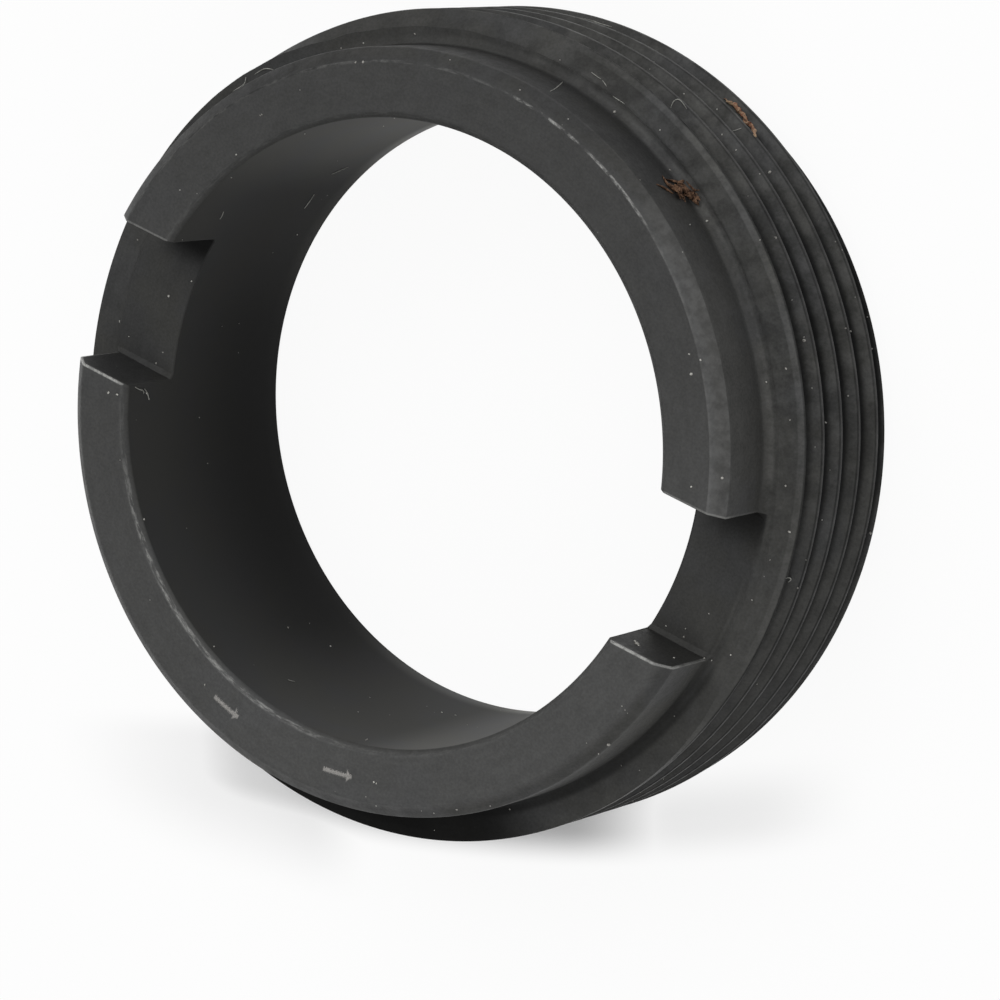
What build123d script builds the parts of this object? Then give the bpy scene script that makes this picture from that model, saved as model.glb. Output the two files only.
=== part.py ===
"""Slotted ring nut with a left-hand outside thread, one turned and milled piece of steel.

The nut lies on its flat back face. Z is the axis of the bore, the slotted front face is up,
and the two spanner slots lie along X. Angles about Z are measured from the slot on +X.
"""
import os
from math import ceil, radians, tan

from build123d import *

# Left-hand thread on the outside, by the metric profile
thread_diameter = 33.0
thread_pitch = 1.5
thread_flank_angle = 30.0
crest_flat_per_pitch = 1 / 8
root_flat_per_pitch = 1 / 6
thread_back_chamfer = 0.4

# The thread's line is the helix of the groove's middle. At angle zero it passes this far
# below the shoulder, and the groove starts on it, under the shoulder, at its own angle.
line_below_shoulder = 1.14
groove_start_angle = -110.0

# Tool mark over the shoulder's edge: a short piece of groove one turn above the thread's
# line and a little lower than that, so that it only breaks the edge
run_in_from_angle = -35.0
run_in_to_angle = 150.0
run_in_drop = 0.12

# Body
nut_width = 11.2
bore_front_chamfer = 0.25
bore_back_chamfer = 0.3

# Slotted boss that stands on the threaded ring, and the wall between it and the bore
shoulder_ledge = 1.4
boss_height = 3.4
boss_wall = 2.75
boss_chamfer = 0.55
boss_foot_fillet = 0.45

# Spanner slots across the boss
slot_width = 6.2
slot_depth = 3.3
slot_corner_chamfer = 0.18

# How far a cutter runs past the surfaces that it cuts
overcut = 0.1

crest_radius = thread_diameter / 2
boss_radius = crest_radius - shoulder_ledge
bore_radius = boss_radius - boss_wall
shoulder_height = nut_width - boss_height
slot_floor_height = nut_width - slot_depth
slot_top_height = nut_width + overcut
slot_side = slot_width / 2

# The groove's section is a trapezium that opens outwards, past the crests
flank_slope = tan(radians(thread_flank_angle))
groove_root_half = thread_pitch * root_flat_per_pitch / 2
groove_crest_half = thread_pitch * (1 - crest_flat_per_pitch) / 2
groove_mouth_half = groove_crest_half + overcut * flank_slope
thread_depth = (groove_crest_half - groove_root_half) / flank_slope

# The groove goes down from its start in whole turns, enough to run out past the back face
line_height = shoulder_height - line_below_shoulder
groove_top = line_height - thread_pitch * groove_start_angle / 360
groove_turns = ceil((groove_top + groove_mouth_half) / thread_pitch)
groove_bottom = groove_top - groove_turns * thread_pitch
bar_bottom = groove_bottom - thread_pitch

# The run-in goes down the same helix between its two angles
run_in_line = line_height + thread_pitch - run_in_drop
run_in_bottom = run_in_line - thread_pitch * run_in_to_angle / 360
run_in_rise = thread_pitch * (run_in_to_angle - run_in_from_angle) / 360


def groove_print(bottom, rise, bottom_angle):
    """Solid print of a groove that climbs a left-hand helix from the bottom height and angle"""
    with BuildPart() as print_of_groove:
        with BuildLine(Plane.XY.offset(bottom)) as path:
            Helix(pitch=thread_pitch, height=rise, radius=crest_radius, lefthand=True)
        with BuildSketch(Plane.XZ):
            with BuildLine():
                Polyline(
                    (crest_radius - thread_depth, bottom - groove_root_half),
                    (crest_radius + overcut, bottom - groove_mouth_half),
                    (crest_radius + overcut, bottom + groove_mouth_half),
                    (crest_radius - thread_depth, bottom + groove_root_half),
                    close=True,
                )
            make_face()
        sweep(path=path.wires()[0], is_frenet=True)
    return print_of_groove.part.rotate(Axis.Z, bottom_angle)


os.makedirs("parts", exist_ok=True)

with BuildPart() as ring_nut:
    # Threaded bar: a cylinder of the crest diameter with the thread groove and the run-in
    with BuildSketch(Plane.XY.offset(bar_bottom)):
        Circle(crest_radius)
    extrude(amount=slot_top_height - bar_bottom)
    groove = groove_print(groove_bottom, groove_turns * thread_pitch, groove_start_angle)
    add(groove, mode=Mode.SUBTRACT)
    run_in = groove_print(run_in_bottom, run_in_rise, run_in_to_angle)
    add(run_in, mode=Mode.SUBTRACT)

    # Turned body: what is left of the bar inside this half section, which passes outside
    # the crests and brings in the back chamfer, the shoulder, the boss and the bore
    with BuildSketch(Plane.XZ) as section:
        with BuildLine():
            Polyline(
                (bore_radius + bore_back_chamfer, 0),
                (crest_radius - thread_back_chamfer, 0),
                (crest_radius + overcut, thread_back_chamfer + overcut),
                (crest_radius + overcut, shoulder_height),
                (boss_radius, shoulder_height),
                (boss_radius, nut_width - boss_chamfer),
                (boss_radius - boss_chamfer, nut_width),
                (bore_radius + bore_front_chamfer, nut_width),
                (bore_radius, nut_width - bore_front_chamfer),
                (bore_radius, bore_back_chamfer),
                close=True,
            )
        make_face()
        foot = section.vertices().sort_by_distance((boss_radius, shoulder_height))[0]
        fillet(foot, radius=boss_foot_fillet)
    revolve(axis=Axis.Z, mode=Mode.INTERSECT)

    # Spanner slots: one straight cut across both sides, with small chamfers along its floor
    with BuildSketch(Plane.YZ):
        with BuildLine():
            Polyline(
                (-slot_side, slot_top_height),
                (-slot_side, slot_floor_height + slot_corner_chamfer),
                (-slot_side + slot_corner_chamfer, slot_floor_height),
                (slot_side - slot_corner_chamfer, slot_floor_height),
                (slot_side, slot_floor_height + slot_corner_chamfer),
                (slot_side, slot_top_height),
                close=True,
            )
        make_face()
    extrude(amount=crest_radius + overcut, both=True, mode=Mode.SUBTRACT)

ring_nut.part.label = "ring_nut"
export_step(ring_nut.part, "parts/ring_nut.step")
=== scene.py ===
"""Finished look of a slotted ring nut of blackened steel, built around its CAD frame.

Sizes are in metres. Z is the axis of the bore, the slotted front face is up, and the spanner
slots lie along X, as in the frame.
"""
import math
import random

import bmesh
import bpy
from bpy.props import FloatProperty, FloatVectorProperty, IntProperty, PointerProperty
from mathutils import Matrix, Quaternion, Vector, noise
from mathutils.bvhtree import BVHTree


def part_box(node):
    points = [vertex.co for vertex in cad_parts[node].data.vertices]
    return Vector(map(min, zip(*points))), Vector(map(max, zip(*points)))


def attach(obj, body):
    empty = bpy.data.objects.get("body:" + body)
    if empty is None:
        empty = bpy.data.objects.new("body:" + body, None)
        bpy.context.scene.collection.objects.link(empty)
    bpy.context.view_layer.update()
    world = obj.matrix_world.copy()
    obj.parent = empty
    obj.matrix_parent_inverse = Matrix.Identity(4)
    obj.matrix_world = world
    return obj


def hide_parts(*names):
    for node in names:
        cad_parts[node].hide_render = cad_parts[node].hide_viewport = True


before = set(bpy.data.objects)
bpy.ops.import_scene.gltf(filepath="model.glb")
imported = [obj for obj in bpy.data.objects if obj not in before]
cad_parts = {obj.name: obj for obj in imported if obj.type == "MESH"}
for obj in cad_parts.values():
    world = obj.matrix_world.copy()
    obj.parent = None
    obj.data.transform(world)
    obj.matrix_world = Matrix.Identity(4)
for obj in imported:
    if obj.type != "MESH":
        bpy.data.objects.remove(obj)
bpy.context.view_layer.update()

bl_info = {
    "name": "Ring nut looks",
    "version": (1, 0, 0),
    "blender": (4, 5, 0),
    "location": "View3D > Sidebar > Ring nut",
    "description": "Builds the finished look of a slotted ring nut around its CAD frame",
    "category": "Object",
}

MM = 0.001
BODY = "root"
CAD_NODE = "ring_nut"
NUT_NAME = "nut_body"

# The photograph's side in pixels, and the width of the camera's sensor in millimetres
PHOTO_SIDE = 1000
SENSOR_WIDTH = 36.0

node_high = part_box(CAD_NODE)[1]
NUT_WIDTH = node_high[2]
CREST_RADIUS = round(node_high[0] / MM, 2) * MM

# Grains of dust: a size in pixels, and the pixels of the photograph that show grains of it,
# across and down
DUST_GRAINS = (
    (
        3.2,
        (
            (614.6, 112.0), (769.7, 172.3), (804.0, 340.4), (722.0, 477.9), (608.6, 744.6),
            (117.3, 394.5), (363.2, 62.0),
        ),
    ),
    (5.2, ((636.8, 644.0),)),
    (3.2, ((691.4, 374.0),)),
    (
        2.6,
        (
            (635.0, 641.3), (638.6, 645.6), (789.3, 531.8), (870.5, 533.0), (108.6, 392.7),
        ),
    ),
    (3.2, ((169.0, 296.0),)),
    (
        2.6,
        (
            (374.0, 782.0), (785.6, 485.8), (707.0, 221.0), (674.0, 658.0),
        ),
    ),
    (
        1.9,
        (
            (759.7, 174.0), (776.0, 237.8), (684.0, 94.0), (717.0, 109.4), (670.0, 170.0),
            (722.0, 134.6), (845.6, 328.3), (850.6, 331.3), (786.0, 368.6), (689.3, 354.0),
            (700.5, 360.0), (766.4, 382.0), (872.0, 348.7), (848.0, 395.8), (691.4, 486.7),
            (825.7, 422.3), (685.5, 628.8), (666.0, 626.0), (704.3, 658.3), (711.7, 660.3),
            (684.0, 637.0), (797.6, 588.0), (730.8, 655.0), (144.0, 519.3), (330.4, 646.3),
            (214.0, 646.6), (365.7, 740.3), (367.2, 739.6), (204.9, 684.8), (509.8, 809.2),
            (490.3, 805.8), (456.8, 809.5), (260.3, 115.4), (262.0, 114.6), (341.3, 48.2),
            (363.6, 43.2), (355.7, 62.3), (305.0, 133.6), (236.3, 154.7), (231.3, 177.5),
            (137.7, 239.8), (119.7, 321.4), (156.2, 363.3), (191.6, 281.3), (598.5, 753.7),
            (135.5, 387.4), (141.3, 389.9), (146.3, 393.2), (148.8, 399.0), (376.5, 783.4),
            (441.8, 712.5), (415.0, 34.0),
        ),
    ),
    (
        1.3,
        (
            (690.0, 224.7), (129.0, 336.5), (182.3, 239.8), (709.0, 613.6), (586.5, 743.0),
            (639.6, 770.3), (621.4, 765.6), (757.0, 684.0), (663.5, 779.0), (633.0, 800.8),
            (366.0, 796.7), (376.2, 805.8), (622.0, 706.0), (625.0, 710.0), (627.5, 713.0),
            (433.9, 813.0), (421.5, 810.8), (434.6, 830.2), (804.0, 337.0), (775.0, 237.0),
            (736.0, 150.0), (748.0, 196.0), (792.0, 300.0), (812.0, 388.0), (830.0, 470.0),
            (822.0, 520.0), (806.0, 560.0), (842.0, 250.0), (760.0, 240.0), (790.0, 420.0),
            (770.0, 560.0), (752.0, 600.0), (560.0, 60.0), (520.0, 90.0), (450.0, 60.0),
            (300.0, 90.0), (180.0, 190.0), (660.0, 130.0), (640.0, 180.0), (120.0, 460.0),
            (150.0, 600.0), (250.0, 760.0),
        ),
    ),
)

# Fibres, each through some pixels: across and down
FIBRES = (
    ((671.0, 108.0), (672.7, 101.5), (678.5, 99.0), (682.6, 103.0), (686.8, 109.0)),
    ((732.5, 131.2), (736.8, 130.4), (741.2, 128.2)),
    ((550.0, 91.5), (556.6, 89.0), (562.4, 82.4)),
    ((649.5, 70.0), (652.0, 65.0), (654.4, 61.7)),
    ((233.0, 91.3), (240.0, 88.0), (246.2, 83.0), (246.0, 77.2)),
    ((254.5, 74.7), (261.0, 70.0), (267.8, 68.0), (273.6, 69.8)),
    ((331.6, 174.0), (340.0, 170.0), (348.2, 166.8)),
    ((304.3, 208.2), (309.0, 202.0), (314.2, 194.0)),
    ((219.7, 219.0), (222.0, 216.0), (223.4, 211.6)),
    ((578.0, 18.0), (590.0, 20.0), (600.0, 24.0), (612.0, 27.0)),
    ((786.0, 578.0), (790.5, 577.0), (791.0, 580.5), (788.0, 582.0)),
    ((287.8, 679.8), (291.0, 681.2), (295.0, 682.0)),
    ((135.0, 387.0), (138.0, 389.2), (141.3, 389.9), (143.8, 391.3), (143.2, 394.0)),
    ((144.0, 388.6), (146.6, 391.8), (147.6, 395.2), (148.9, 399.6)),
    ((591.6, 72.4), (596.0, 76.0), (601.0, 79.2)),
    ((602.6, 80.6), (604.6, 83.0), (606.6, 86.4)),
    ((612.8, 96.4), (617.0, 99.8), (620.4, 101.6), (624.6, 104.4)),
)

# The brown flake's ends, half its width in pixels, and its strands
FLAKE_ENDS = ((671.0, 187.0), (696.0, 200.0))
FLAKE_HALF_WIDTH = 7.5
FLAKE_STRANDS = (
    ((662.0, 176.0), (664.5, 181.0), (668.0, 186.5), (673.0, 190.0)),
    ((656.0, 184.4), (661.5, 187.0), (667.7, 191.0), (673.0, 194.0)),
    ((664.0, 179.0), (671.0, 181.5), (679.0, 182.0), (684.0, 186.0)),
    ((686.0, 181.0), (691.0, 187.0), (695.0, 191.0), (699.5, 190.0)),
    ((690.0, 199.0), (695.0, 203.0), (699.0, 205.5)),
)

# The curl, with its share of the thickness at each pixel
CURL = (
    (724.1, 98.9, 0.3),
    (730.1, 103.0, 0.5),
    (734.6, 105.5, 1.0),
    (737.8, 109.6, 1.1),
    (740.2, 112.8, 0.7),
    (743.0, 114.4, 0.6),
    (745.6, 118.0, 0.8),
    (745.6, 121.2, 1.0),
    (748.4, 123.6, 0.6),
    (751.9, 127.0, 0.8),
    (753.8, 129.6, 0.7),
    (753.3, 133.0, 0.6),
    (755.2, 137.0, 0.3),
)

# The curl and the flake's chips are made ragged by noise of this size and depth
RAG_SIZE = 0.12 * MM
CHIP_RAG_DEPTH = 0.05 * MM
CURL_RAG_DEPTH = 0.08 * MM

# How slowly the run-in cut starts and ends, and the unevenness of its end
RUN_IN_START_BEND = 1.6
RUN_IN_END_BEND = 2.6
UNEVEN_FROM = math.radians(100)
UNEVEN_SHARE = 0.15
UNEVEN_WAVES = 14

# Dust on the hidden sides: angles from the first slot, heights as a share of the nut's width,
# sizes in pixels, and the number of grains of which one lies in the bore
HIDDEN_ANGLES = (math.radians(110), math.radians(330))
HIDDEN_HEIGHTS = (0.05, 0.65)
HIDDEN_SIZES = (0.8, 2.2)
ONE_IN_BORE = 6

# A grain of dust: its stretch along each axis, and how far it is lifted, as a share of its size
GRAIN_STRETCH = ((0.9, 1.5), (0.7, 1.1), (0.5, 0.8))
GRAIN_LIFT = 0.1

# A strand's lift: a share of its own thickness there, and of its full thickness
STRAND_LIFT = 0.35
STRAND_GAP = 0.1

# A chip of the flake: length, width as a share of that, thickness and lift, in millimetres,
# and how much chips differ in yaw, pitch and roll
CHIP_LENGTHS = (0.13, 0.32)
CHIP_WIDTHS = (0.15, 0.35)
CHIP_THICKNESSES = (0.025, 0.05)
CHIP_LIFTS = (0.03, 0.24)
CHIP_TURNS = (0.5, 0.2, 0.4)

# The painted shadow beside the nut lies on this side of it, and bends round it, per square millimetre
SHADE_ANGLE = math.radians(-65.5)
SHADE_BEND = 0.0065

# The direction arrows in millimetres: between the two numbers a part fades out
ARROW_SHAFT_HALF = (0.06, 0.1)
ARROW_LENGTH = (1.36, 1.42)
ARROW_HEAD = (0.23, 0.31)

# Looks of the steel, the dirt and the floor
# Colour of the painted shade in the thread's groove
GROOVE_SHADE_BLACK = (0.006, 0.006, 0.006, 1)
# Grey of the chamfer's scuffs and of its painted sheen
SCUFF_AND_SHEEN_GREY = (0.51, 0.51, 0.51, 1)
DUST_DARK = (0.28, 0.27, 0.25, 1)
FIBRE_DARK = (0.24, 0.24, 0.22, 1)
FLOOR_WHITE = (0.96, 0.96, 0.96, 1)
SPECKS_PER_MM = 1.25
RELIEF_DEPTH = 0.01 * MM
SPECULAR_LEVEL = 0.2
STEEL_IOR = 1.5

# The camera's range, and the lamps' offsets from the target and sides: the first three offsets
# run to the camera's right, up and back, and the last one along the nut's axes
CLIP_RANGE = (0.01, 10.0)
KEY_OFFSET = Vector((-0.28, 0.3, 0.36))
TOP_OFFSET = Vector((-0.1, 0.3, 0.45))
LOW_OFFSET = Vector((0.0, -0.4, 0.4))
FRONT_OFFSET = Vector((0.0, 0.0, 0.5))
KEY_SIDE = 0.35
TOP_SIDE = 0.4
LOW_SIDE = 0.3
FRONT_SIDE = 0.3

# Edges sharper than these are milled ones to round, and ones to shade as sharp
MILLED_ANGLE = math.radians(20)
SHARP_ANGLE = math.radians(25)

# Segments of the roundings, and the weight that large faces get in the shading
CORNER_SEGMENTS = 3
FOOT_SEGMENTS = 6
MILLED_SEGMENTS = 4
NORMAL_WEIGHT = 50

# The angle of a vertex along the helix may be this far off
ANGLE_SLACK = 0.001

# A point this near to a plane or circle counts as on it
ON_IT = 1e-6
# Doubles nearer than this are merged
MERGE = 1e-6


class NutSizes(bpy.types.PropertyGroup):
    """Sizes of the nut that the frame's box doesn't give"""

    pitch: FloatProperty(
        name="Thread pitch", description="Lead of the left-hand thread", default=1.5 * MM, unit="LENGTH"
    )
    flank_angle: FloatProperty(
        name="Flank angle",
        description="Angle between a flank of the thread and a plane across the axis",
        default=math.radians(30),
        subtype="ANGLE",
    )
    crest_flat: FloatProperty(
        name="Crest flat", description="Width of the thread's crest", default=1.5 * MM / 8, unit="LENGTH"
    )
    root_flat: FloatProperty(
        name="Root flat", description="Width of the groove's floor", default=1.5 * MM / 6, unit="LENGTH"
    )
    crest_rounding: FloatProperty(
        name="Crest rounding", description="Rounding of crest corners", default=0.03 * MM, unit="LENGTH"
    )
    root_rounding: FloatProperty(
        name="Root rounding", description="Rounding of root corners", default=0.07 * MM, unit="LENGTH"
    )
    groove_below_shoulder: FloatProperty(
        name="Groove below shoulder",
        description="Depth of the groove's middle below the shoulder under the first slot",
        default=1.14 * MM,
        unit="LENGTH",
    )
    thread_start: FloatProperty(
        name="Thread start",
        description="Angle from the first slot at which the thread groove starts under the shoulder",
        default=math.radians(-110),
        subtype="ANGLE",
    )
    run_in_from: FloatProperty(
        name="Run-in from",
        description="Angle at which the tool's run-in cut over the shoulder's edge starts",
        default=math.radians(-35),
        subtype="ANGLE",
    )
    run_in_to: FloatProperty(
        name="Run-in to",
        description="Angle at which the run-in cut ends",
        default=math.radians(165),
        subtype="ANGLE",
    )
    run_in_rise: FloatProperty(
        name="Run-in rise",
        description="Angle over which the run-in cut gets its full depth",
        default=math.radians(27),
        subtype="ANGLE",
    )
    run_in_fall: FloatProperty(
        name="Run-in fall",
        description="Angle over which the run-in cut loses its depth",
        default=math.radians(37),
        subtype="ANGLE",
    )
    run_in_drop: FloatProperty(
        name="Run-in drop",
        description="How far the run-in cut lies below the helix of the thread",
        default=0.145 * MM,
        unit="LENGTH",
    )
    thread_back_chamfer: FloatProperty(
        name="Thread back chamfer", description="Chamfer at the leading end", default=0.4 * MM, unit="LENGTH"
    )
    shoulder_ledge: FloatProperty(
        name="Shoulder ledge", description="Step in from crests to boss", default=1.4 * MM, unit="LENGTH"
    )
    boss_height: FloatProperty(
        name="Boss height", description="Height above the shoulder", default=3.4 * MM, unit="LENGTH"
    )
    boss_wall: FloatProperty(
        name="Boss wall", description="Wall between boss and bore", default=2.75 * MM, unit="LENGTH"
    )
    boss_chamfer: FloatProperty(
        name="Boss chamfer", description="Chamfer round the front face", default=0.55 * MM, unit="LENGTH"
    )
    boss_foot_fillet: FloatProperty(
        name="Boss foot fillet", description="Fillet under the boss", default=0.45 * MM, unit="LENGTH"
    )
    bore_front_chamfer: FloatProperty(
        name="Bore front chamfer", description="Chamfer in front", default=0.25 * MM, unit="LENGTH"
    )
    bore_back_chamfer: FloatProperty(
        name="Bore back chamfer", description="Chamfer at the back", default=0.3 * MM, unit="LENGTH"
    )
    slot_width: FloatProperty(
        name="Slot width", description="Width of the spanner slots", default=6.2 * MM, unit="LENGTH"
    )
    slot_depth: FloatProperty(
        name="Slot depth", description="Depth of the spanner slots", default=3.3 * MM, unit="LENGTH"
    )
    slot_corner_chamfer: FloatProperty(
        name="Slot corner chamfer",
        description="Chamfer along the slot's floor",
        default=0.18 * MM,
        unit="LENGTH",
    )
    edge_rounding: FloatProperty(
        name="Edge rounding", description="Rounding of turned corners", default=0.07 * MM, unit="LENGTH"
    )
    slot_edge_rounding: FloatProperty(
        name="Slot edge rounding", description="Rounding where milled", default=0.08 * MM, unit="LENGTH"
    )
    round_steps: IntProperty(
        name="Round steps", description="Facets round the nut", default=288, min=48, max=480
    )


class NutPaints(bpy.types.PropertyGroup):
    """Colours and marks of the nut and of the dirt on it"""

    warm_black: FloatVectorProperty(
        name="Warm black",
        description="Oxide where it turns brown",
        default=(0.0513, 0.0511, 0.0482, 1.0),
        size=4,
        subtype="COLOR",
    )
    cool_black: FloatVectorProperty(
        name="Cool black",
        description="Oxide where it turns blue",
        default=(0.0499, 0.0503, 0.0501, 1.0),
        size=4,
        subtype="COLOR",
    )
    # Also the colour of the painted highlights along the edges
    worn_edge_and_highlight: FloatVectorProperty(
        name="Worn edge",
        description="Bare steel along the worn edges",
        default=(0.50, 0.50, 0.48, 1.0),
        size=4,
        subtype="COLOR",
    )
    mark: FloatVectorProperty(
        name="Mark",
        description="Pale marks of the arrows on the front",
        default=(0.40, 0.385, 0.365, 1.0),
        size=4,
        subtype="COLOR",
    )
    dust: FloatVectorProperty(
        name="Dust",
        description="Fine pale dust",
        default=(0.62, 0.61, 0.57, 1.0),
        size=4,
        subtype="COLOR",
    )
    fibre: FloatVectorProperty(
        name="Fibre",
        description="Pale loose fibres",
        default=(0.42, 0.42, 0.39, 1.0),
        size=4,
        subtype="COLOR",
    )
    flake_light: FloatVectorProperty(
        name="Flake, light",
        description="Dry side of the brown flake",
        default=(0.2, 0.115, 0.07, 1.0),
        size=4,
        subtype="COLOR",
    )
    flake_dark: FloatVectorProperty(
        name="Flake, dark",
        description="Deep parts of the brown flake",
        default=(0.028, 0.013, 0.007, 1.0),
        size=4,
        subtype="COLOR",
    )
    curl_light: FloatVectorProperty(
        name="Curl, light",
        description="Pale side of the curl",
        default=(0.44, 0.32, 0.21, 1.0),
        size=4,
        subtype="COLOR",
    )
    curl_red: FloatVectorProperty(
        name="Curl, red",
        description="Red-brown side of the curl",
        default=(0.26, 0.10, 0.06, 1.0),
        size=4,
        subtype="COLOR",
    )
    arrow_tip_angles: FloatVectorProperty(
        name="Arrow tips",
        description="Angles from the first slot at which the tips of the two arrows lie",
        default=(math.radians(-99.6), math.radians(-75.3)),
        size=2,
        unit="ROTATION",
    )
    arrow_radii: FloatVectorProperty(
        name="Arrow radii",
        description="Distances of the two arrows from the axis",
        default=(13.57 * MM, 13.68 * MM),
        size=2,
        unit="LENGTH",
    )


class NutStage(bpy.types.PropertyGroup):
    """Camera, floor and lamps"""

    camera_location: FloatVectorProperty(
        name="Camera location",
        description="Where the photograph was taken from",
        default=(86.999 * MM, 54.380 * MM, 167.551 * MM),
        subtype="TRANSLATION",
    )
    camera_target: FloatVectorProperty(
        name="Camera target",
        description="Point in the middle of the photograph",
        default=(2.8602 * MM, -2.0761 * MM, 5.6 * MM),
        subtype="TRANSLATION",
    )
    camera_roll: FloatProperty(
        name="Camera roll",
        description="Turn of the camera about its view axis",
        default=math.radians(-101.057),
        subtype="ANGLE",
    )
    camera_lens: FloatProperty(
        name="Camera lens", description="Focal length in millimetres", default=172.98, min=20
    )
    floor_side: FloatProperty(
        name="Floor side", description="Side of the square floor", default=4.0, unit="LENGTH"
    )
    floor_drop: FloatProperty(
        name="Floor drop",
        description="How far the floor lies under the back face, so that they don't coincide",
        default=0.02 * MM,
        unit="LENGTH",
    )
    floor_glow: FloatProperty(
        name="Floor glow",
        description="How much of the floor's whiteness comes without the lamps",
        default=0.93,
        min=0.0,
        max=1.0,
        subtype="FACTOR",
    )
    # The glow left out here makes a painted shadow beside the nut
    floor_shade: FloatProperty(
        name="Floor shade",
        description="How much of that is left out where the nut's shadow falls",
        default=0.9,
        min=0.0,
        max=1.0,
        subtype="FACTOR",
    )
    world_strength: FloatProperty(
        name="World strength", description="Strength of the even light all round", default=0.2, min=0.0
    )
    key_level: FloatProperty(name="Key level", description="Lamp at the upper left", default=0.36, min=0.0)
    top_level: FloatProperty(name="Top level", description="Lamp from above", default=0.14, min=0.0)
    low_level: FloatProperty(name="Low level", description="Lamp low in front", default=0.24, min=0.0)
    front_level: FloatProperty(name="Front level", description="Lamp over the face", default=0.15, min=0.0)


class NutDirt(bpy.types.PropertyGroup):
    """Loose dirt on the nut"""

    seed: IntProperty(name="Seed", description="Seed of the dirt's random shapes", default=11)
    unseen_grains: IntProperty(
        name="Unseen grains", description="Grains of dust on the hidden sides", default=90, min=0
    )
    fibre_thickness: FloatProperty(
        name="Fibre thickness", description="Thickness of each fibre", default=0.045 * MM, unit="LENGTH"
    )
    curl_thickness: FloatProperty(
        name="Curl thickness", description="Thickness at the middle", default=0.19 * MM, unit="LENGTH"
    )
    flake_chips: IntProperty(
        name="Flake chips", description="Chips that the brown flake is made of", default=30, min=1
    )


def wire(bm, points):
    """A chain of edges in the XZ plane through (radius, height) points; gives its vertices"""
    verts = [bmesh.ops.create_vert(bm, co=Vector((r, 0.0, z)))["vert"][0] for r, z in points]
    for a, b in zip(verts, verts[1:]):
        bmesh.ops.contextual_create(bm, geom=[a, b])
    return verts


def round_off(bm, parts, radius, segments, affect="VERTICES"):
    """Round some corners of a chain of edges, or some edges of a solid"""
    bmesh.ops.bevel(
        bm,
        geom=parts,
        offset=radius,
        offset_type="OFFSET",
        segments=segments,
        profile=0.5,
        affect=affect,
        clamp_overlap=True,
        material=-1,
    )


def spin_round(bm, steps, rise):
    """Spin all of a section once round the axis, rising by the given lead"""
    bmesh.ops.spin(
        bm,
        geom=bm.verts[:] + bm.edges[:],
        cent=(0, 0, 0),
        axis=(0, 0, 1),
        dvec=(0, 0, rise / steps),
        angle=math.tau,
        steps=steps,
        use_merge=(rise == 0),
        use_duplicate=False,
    )
    bmesh.ops.remove_doubles(bm, verts=bm.verts[:], dist=MERGE)


def fade(value, full, none, bend):
    """From 1 at full to 0 at none, the last part slowly"""
    return min(max((value - none) / (full - none), 0.0), 1.0) ** bend


def end_grooves(bm, sizes):
    """Close the groove above its start, but for the run-in cut over the shoulder's edge"""
    line = NUT_WIDTH - sizes.boss_height - sizes.groove_below_shoulder
    start = math.tau + sizes.thread_start
    for vert in bm.verts:
        angle = math.atan2(vert.co.y, vert.co.x)
        turns = round((line + sizes.pitch * (1 - angle / math.tau) - vert.co.z) / sizes.pitch)
        along = angle + turns * math.tau
        if along > start - ANGLE_SLACK:
            continue
        inside = fade(along, sizes.run_in_from + sizes.run_in_rise, sizes.run_in_from, RUN_IN_START_BEND)
        inside *= fade(along, sizes.run_in_to - sizes.run_in_fall, sizes.run_in_to, RUN_IN_END_BEND)
        if along > UNEVEN_FROM:
            inside *= 1 + UNEVEN_SHARE * noise.noise(Vector((along * UNEVEN_WAVES, 0.0, 0.0)))
        radius = math.hypot(vert.co.x, vert.co.y)
        scale = (CREST_RADIUS - (CREST_RADIUS - radius) * inside) / radius
        vert.co.x *= scale
        vert.co.y *= scale
        vert.co.z -= sizes.run_in_drop * inside


def threaded_bar(sizes):
    """A closed bar of the crest diameter with the left-hand groove, longer than the nut"""
    bm = bmesh.new()
    pitch = sizes.pitch
    depth = (pitch - sizes.crest_flat - sizes.root_flat) / 2 / math.tan(sizes.flank_angle)
    groove_z = NUT_WIDTH - sizes.boss_height - sizes.groove_below_shoulder
    low = -pitch
    high = NUT_WIDTH + pitch
    first = -math.ceil((groove_z - low) / pitch) - 1
    last = math.ceil((high - groove_z) / pitch) + 2
    root_r = CREST_RADIUS - depth
    crest_half = (pitch - sizes.crest_flat) / 2
    root_half = sizes.root_flat / 2
    points = []
    for turn in range(first, last):
        z = groove_z + turn * pitch
        points.append((CREST_RADIUS, z - crest_half))
        points.append((root_r, z - root_half))
        points.append((root_r, z + root_half))
        points.append((CREST_RADIUS, z + crest_half))
    inner = wire(bm, points)[1:-1]
    roots = [v for v in inner if v.co.x < root_r + ON_IT]
    round_off(bm, roots, sizes.root_rounding, CORNER_SEGMENTS)
    crests = [v for v in bm.verts if v.co.x > CREST_RADIUS - ON_IT and len(v.link_edges) == 2]
    round_off(bm, crests, sizes.crest_rounding, CORNER_SEGMENTS)
    spin_round(bm, sizes.round_steps, -pitch)
    end_grooves(bm, sizes)
    for z, outward in ((high, 1), (low, -1)):
        bmesh.ops.bisect_plane(
            bm,
            geom=bm.verts[:] + bm.edges[:] + bm.faces[:],
            plane_co=(0, 0, z),
            plane_no=(0, 0, outward),
            clear_outer=True,
            clear_inner=False,
        )
        rim = [e for e in bm.edges if e.is_boundary and all(abs(v.co.z - z) < ON_IT for v in e.verts)]
        bmesh.ops.contextual_create(bm, geom=rim)
    bmesh.ops.recalc_face_normals(bm, faces=bm.faces[:])
    return bm


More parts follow.
